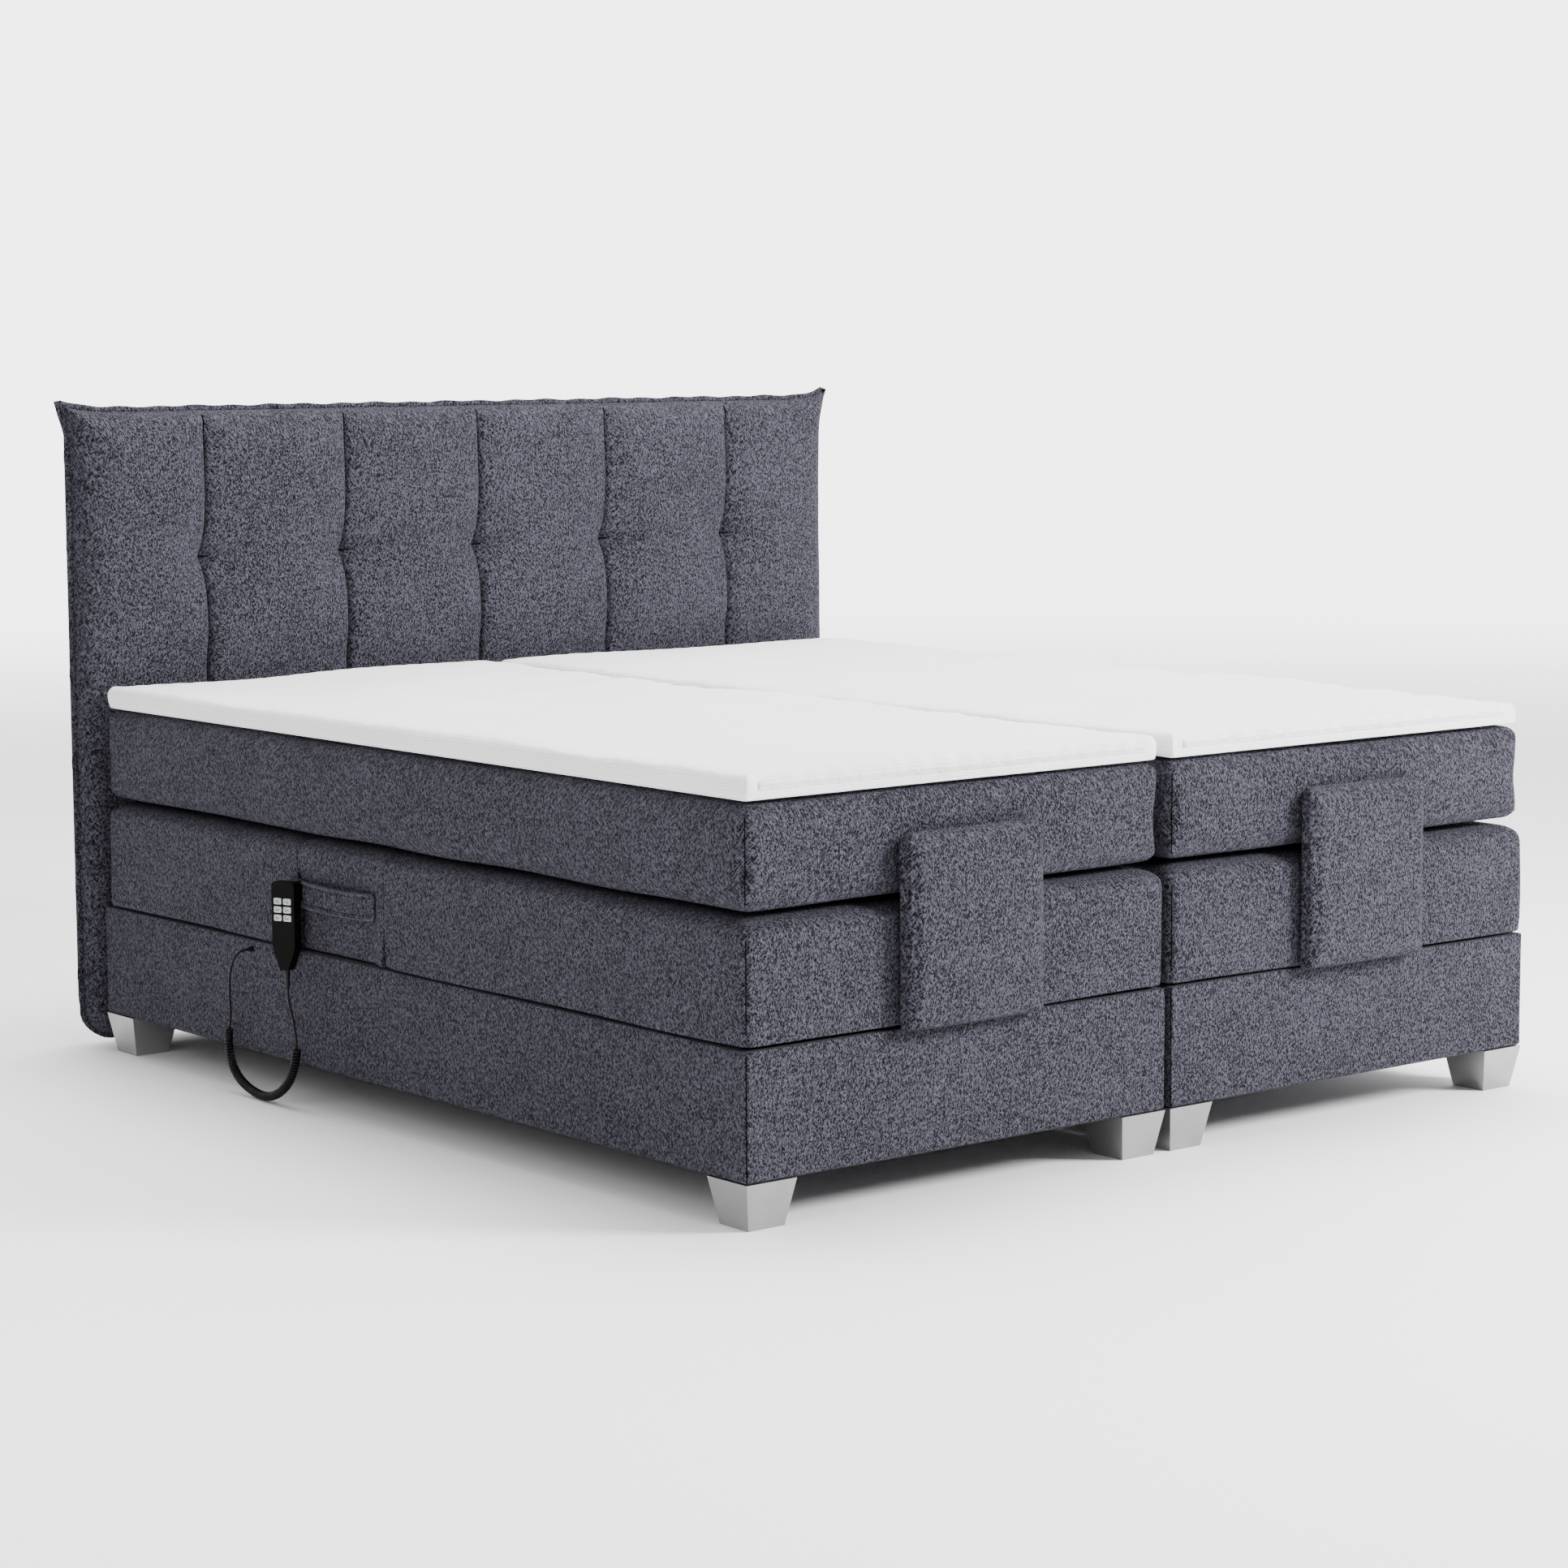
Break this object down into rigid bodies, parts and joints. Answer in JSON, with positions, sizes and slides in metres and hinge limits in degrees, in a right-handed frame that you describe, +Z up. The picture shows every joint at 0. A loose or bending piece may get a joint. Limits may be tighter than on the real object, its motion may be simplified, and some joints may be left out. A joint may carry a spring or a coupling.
{
  "type": "adjustable bed",
  "caption": "Electrically adjustable box-spring double bed with separate back, seat, thigh and calf sections per side, headboard and wired handset.",
  "frame": {"origin": "on the floor, under the middle of the whole bed with its headboard and retainers", "axes": "+Z up, +Y towards the headboard, +X to the right of someone standing at the foot end"},
  "size_m": [1.902, 2.135, 1.256],
  "materials": {
    "upholstery_fabric": "matte",
    "topper_fabric": "matte",
    "wood": "matte",
    "foot_silver": "satin",
    "steel_black": "satin",
    "zinc_steel": "satin",
    "handset_black": "matte",
    "button_grey": "matte",
    "cord_black": "satin",
    "motor_black": "matte"
  },
  "bodies": {
    "bed_frame": {"headboard_panel": "wood", "headboard_cushion": "upholstery_fabric", "headboard_spacers": "steel_black", "base_connectors": "steel_black", "feet": "foot_silver", "seat_hinge_leaves": "zinc_steel", "handset_strap": "upholstery_fabric", "handset_front_shell": "handset_black", "handset_back_shell": "handset_black", "cord_gland": "cord_black", "cord_lead": "cord_black", "cord_coil": "cord_black", "cord_tail": "cord_black", "handset_boot": "cord_black", "left_box_frame": "wood", "left_box_cover": "upholstery_fabric", "left_steel_frame": "steel_black", "left_motor": "motor_black", "left_seat_deck": "upholstery_fabric", "left_seat_mattress": "upholstery_fabric", "left_topper": "topper_fabric", "right_box_frame": "wood", "right_box_cover": "upholstery_fabric", "right_steel_frame": "steel_black", "right_motor": "motor_black", "right_seat_deck": "upholstery_fabric", "right_seat_mattress": "upholstery_fabric", "right_topper": "topper_fabric"},
    "left_back_section": {"left_back_deck": "upholstery_fabric", "left_back_mattress": "upholstery_fabric", "left_back_hinge_leaf": "zinc_steel"},
    "left_thigh_section": {"left_thigh_deck": "upholstery_fabric", "left_thigh_mattress": "upholstery_fabric", "left_thigh_hinge_leaves": "zinc_steel"},
    "left_calf_section": {"left_calf_deck": "upholstery_fabric", "left_calf_mattress": "upholstery_fabric", "left_calf_hinge_leaf": "zinc_steel", "left_retainer_pad": "upholstery_fabric", "left_retainer_bracket": "steel_black"},
    "left_back_lift_shaft": {"left_back_lift": "steel_black"},
    "left_leg_lift_shaft": {"left_leg_lift": "steel_black"},
    "right_back_section": {"right_back_deck": "upholstery_fabric", "right_back_mattress": "upholstery_fabric", "right_back_hinge_leaf": "zinc_steel"},
    "right_thigh_section": {"right_thigh_deck": "upholstery_fabric", "right_thigh_mattress": "upholstery_fabric", "right_thigh_hinge_leaves": "zinc_steel"},
    "right_calf_section": {"right_calf_deck": "upholstery_fabric", "right_calf_mattress": "upholstery_fabric", "right_calf_hinge_leaf": "zinc_steel", "right_retainer_pad": "upholstery_fabric", "right_retainer_bracket": "steel_black"},
    "right_back_lift_shaft": {"right_back_lift": "steel_black"},
    "right_leg_lift_shaft": {"right_leg_lift": "steel_black"},
    "button_1": {"handset_button_1": "button_grey"},
    "button_2": {"handset_button_2": "button_grey"},
    "button_3": {"handset_button_3": "button_grey"},
    "button_4": {"handset_button_4": "button_grey"},
    "button_5": {"handset_button_5": "button_grey"},
    "button_6": {"handset_button_6": "button_grey"}
  },
  "joints": [
    {"name": "left_back_hinge", "type": "hinge", "parent": "bed_frame", "child": "left_back_section", "pos_m": [-0.456, 0.2575, 0.4852], "axis": [1, 0, 0], "range_deg": [0, 60], "deforming": ["left_seat_mattress", "left_topper"]},
    {"name": "left_thigh_hinge", "type": "hinge", "parent": "bed_frame", "child": "left_thigh_section", "pos_m": [-0.456, -0.0225, 0.4852], "axis": [-1, 0, 0], "range_deg": [0, 35], "deforming": ["left_seat_mattress", "left_topper"]},
    {"name": "left_knee_hinge", "type": "hinge", "parent": "left_thigh_section", "child": "left_calf_section", "pos_m": [-0.456, -0.4225, 0.4852], "axis": [-1, 0, 0], "range_deg": [-42, 0]},
    {"name": "left_back_lift_turn", "type": "hinge", "parent": "bed_frame", "child": "left_back_lift_shaft", "pos_m": [-0.456, 0.3375, 0.19], "axis": [1, 0, 0], "range_deg": [0, 48.87]},
    {"name": "left_leg_lift_turn", "type": "hinge", "parent": "bed_frame", "child": "left_leg_lift_shaft", "pos_m": [-0.456, -0.0625, 0.19], "axis": [-1, 0, 0], "range_deg": [0, 26.09]},
    {"name": "right_back_hinge", "type": "hinge", "parent": "bed_frame", "child": "right_back_section", "pos_m": [0.456, 0.2575, 0.4852], "axis": [1, 0, 0], "range_deg": [0, 60], "deforming": ["right_seat_mattress", "right_topper"]},
    {"name": "right_thigh_hinge", "type": "hinge", "parent": "bed_frame", "child": "right_thigh_section", "pos_m": [0.456, -0.0225, 0.4852], "axis": [-1, 0, 0], "range_deg": [0, 35], "deforming": ["right_seat_mattress", "right_topper"]},
    {"name": "right_knee_hinge", "type": "hinge", "parent": "right_thigh_section", "child": "right_calf_section", "pos_m": [0.456, -0.4225, 0.4852], "axis": [-1, 0, 0], "range_deg": [-42, 0]},
    {"name": "right_back_lift_turn", "type": "hinge", "parent": "bed_frame", "child": "right_back_lift_shaft", "pos_m": [0.456, 0.3375, 0.19], "axis": [1, 0, 0], "range_deg": [0, 48.87]},
    {"name": "right_leg_lift_turn", "type": "hinge", "parent": "bed_frame", "child": "right_leg_lift_shaft", "pos_m": [0.456, -0.0625, 0.19], "axis": [-1, 0, 0], "range_deg": [0, 26.09]},
    {"name": "button_1_press", "type": "slide", "parent": "bed_frame", "child": "button_1", "axis": [0.9336, 0.3584, 0], "range_m": [0, 0.001], "stiffness_N_per_m": 400, "springref_m": -0.0005},
    {"name": "button_2_press", "type": "slide", "parent": "bed_frame", "child": "button_2", "axis": [0.9336, 0.3584, 0], "range_m": [0, 0.001], "stiffness_N_per_m": 400, "springref_m": -0.0005},
    {"name": "button_3_press", "type": "slide", "parent": "bed_frame", "child": "button_3", "axis": [0.9336, 0.3584, 0], "range_m": [0, 0.001], "stiffness_N_per_m": 400, "springref_m": -0.0005},
    {"name": "button_4_press", "type": "slide", "parent": "bed_frame", "child": "button_4", "axis": [0.9336, 0.3584, 0], "range_m": [0, 0.001], "stiffness_N_per_m": 400, "springref_m": -0.0005},
    {"name": "button_5_press", "type": "slide", "parent": "bed_frame", "child": "button_5", "axis": [0.9336, 0.3584, 0], "range_m": [0, 0.001], "stiffness_N_per_m": 400, "springref_m": -0.0005},
    {"name": "button_6_press", "type": "slide", "parent": "bed_frame", "child": "button_6", "axis": [0.9336, 0.3584, 0], "range_m": [0, 0.001], "stiffness_N_per_m": 400, "springref_m": -0.0005}
  ],
  "couplings": [
    {"joint": "left_knee_hinge", "follows": "left_thigh_hinge", "ratio": -1.2},
    {"joint": "left_back_lift_turn", "follows": "left_back_hinge", "ratio": 0.8112},
    {"joint": "left_leg_lift_turn", "follows": "left_thigh_hinge", "ratio": 0.7398},
    {"joint": "right_knee_hinge", "follows": "right_thigh_hinge", "ratio": -1.2},
    {"joint": "right_back_lift_turn", "follows": "right_back_hinge", "ratio": 0.8112},
    {"joint": "right_leg_lift_turn", "follows": "right_thigh_hinge", "ratio": 0.7398}
  ]
}
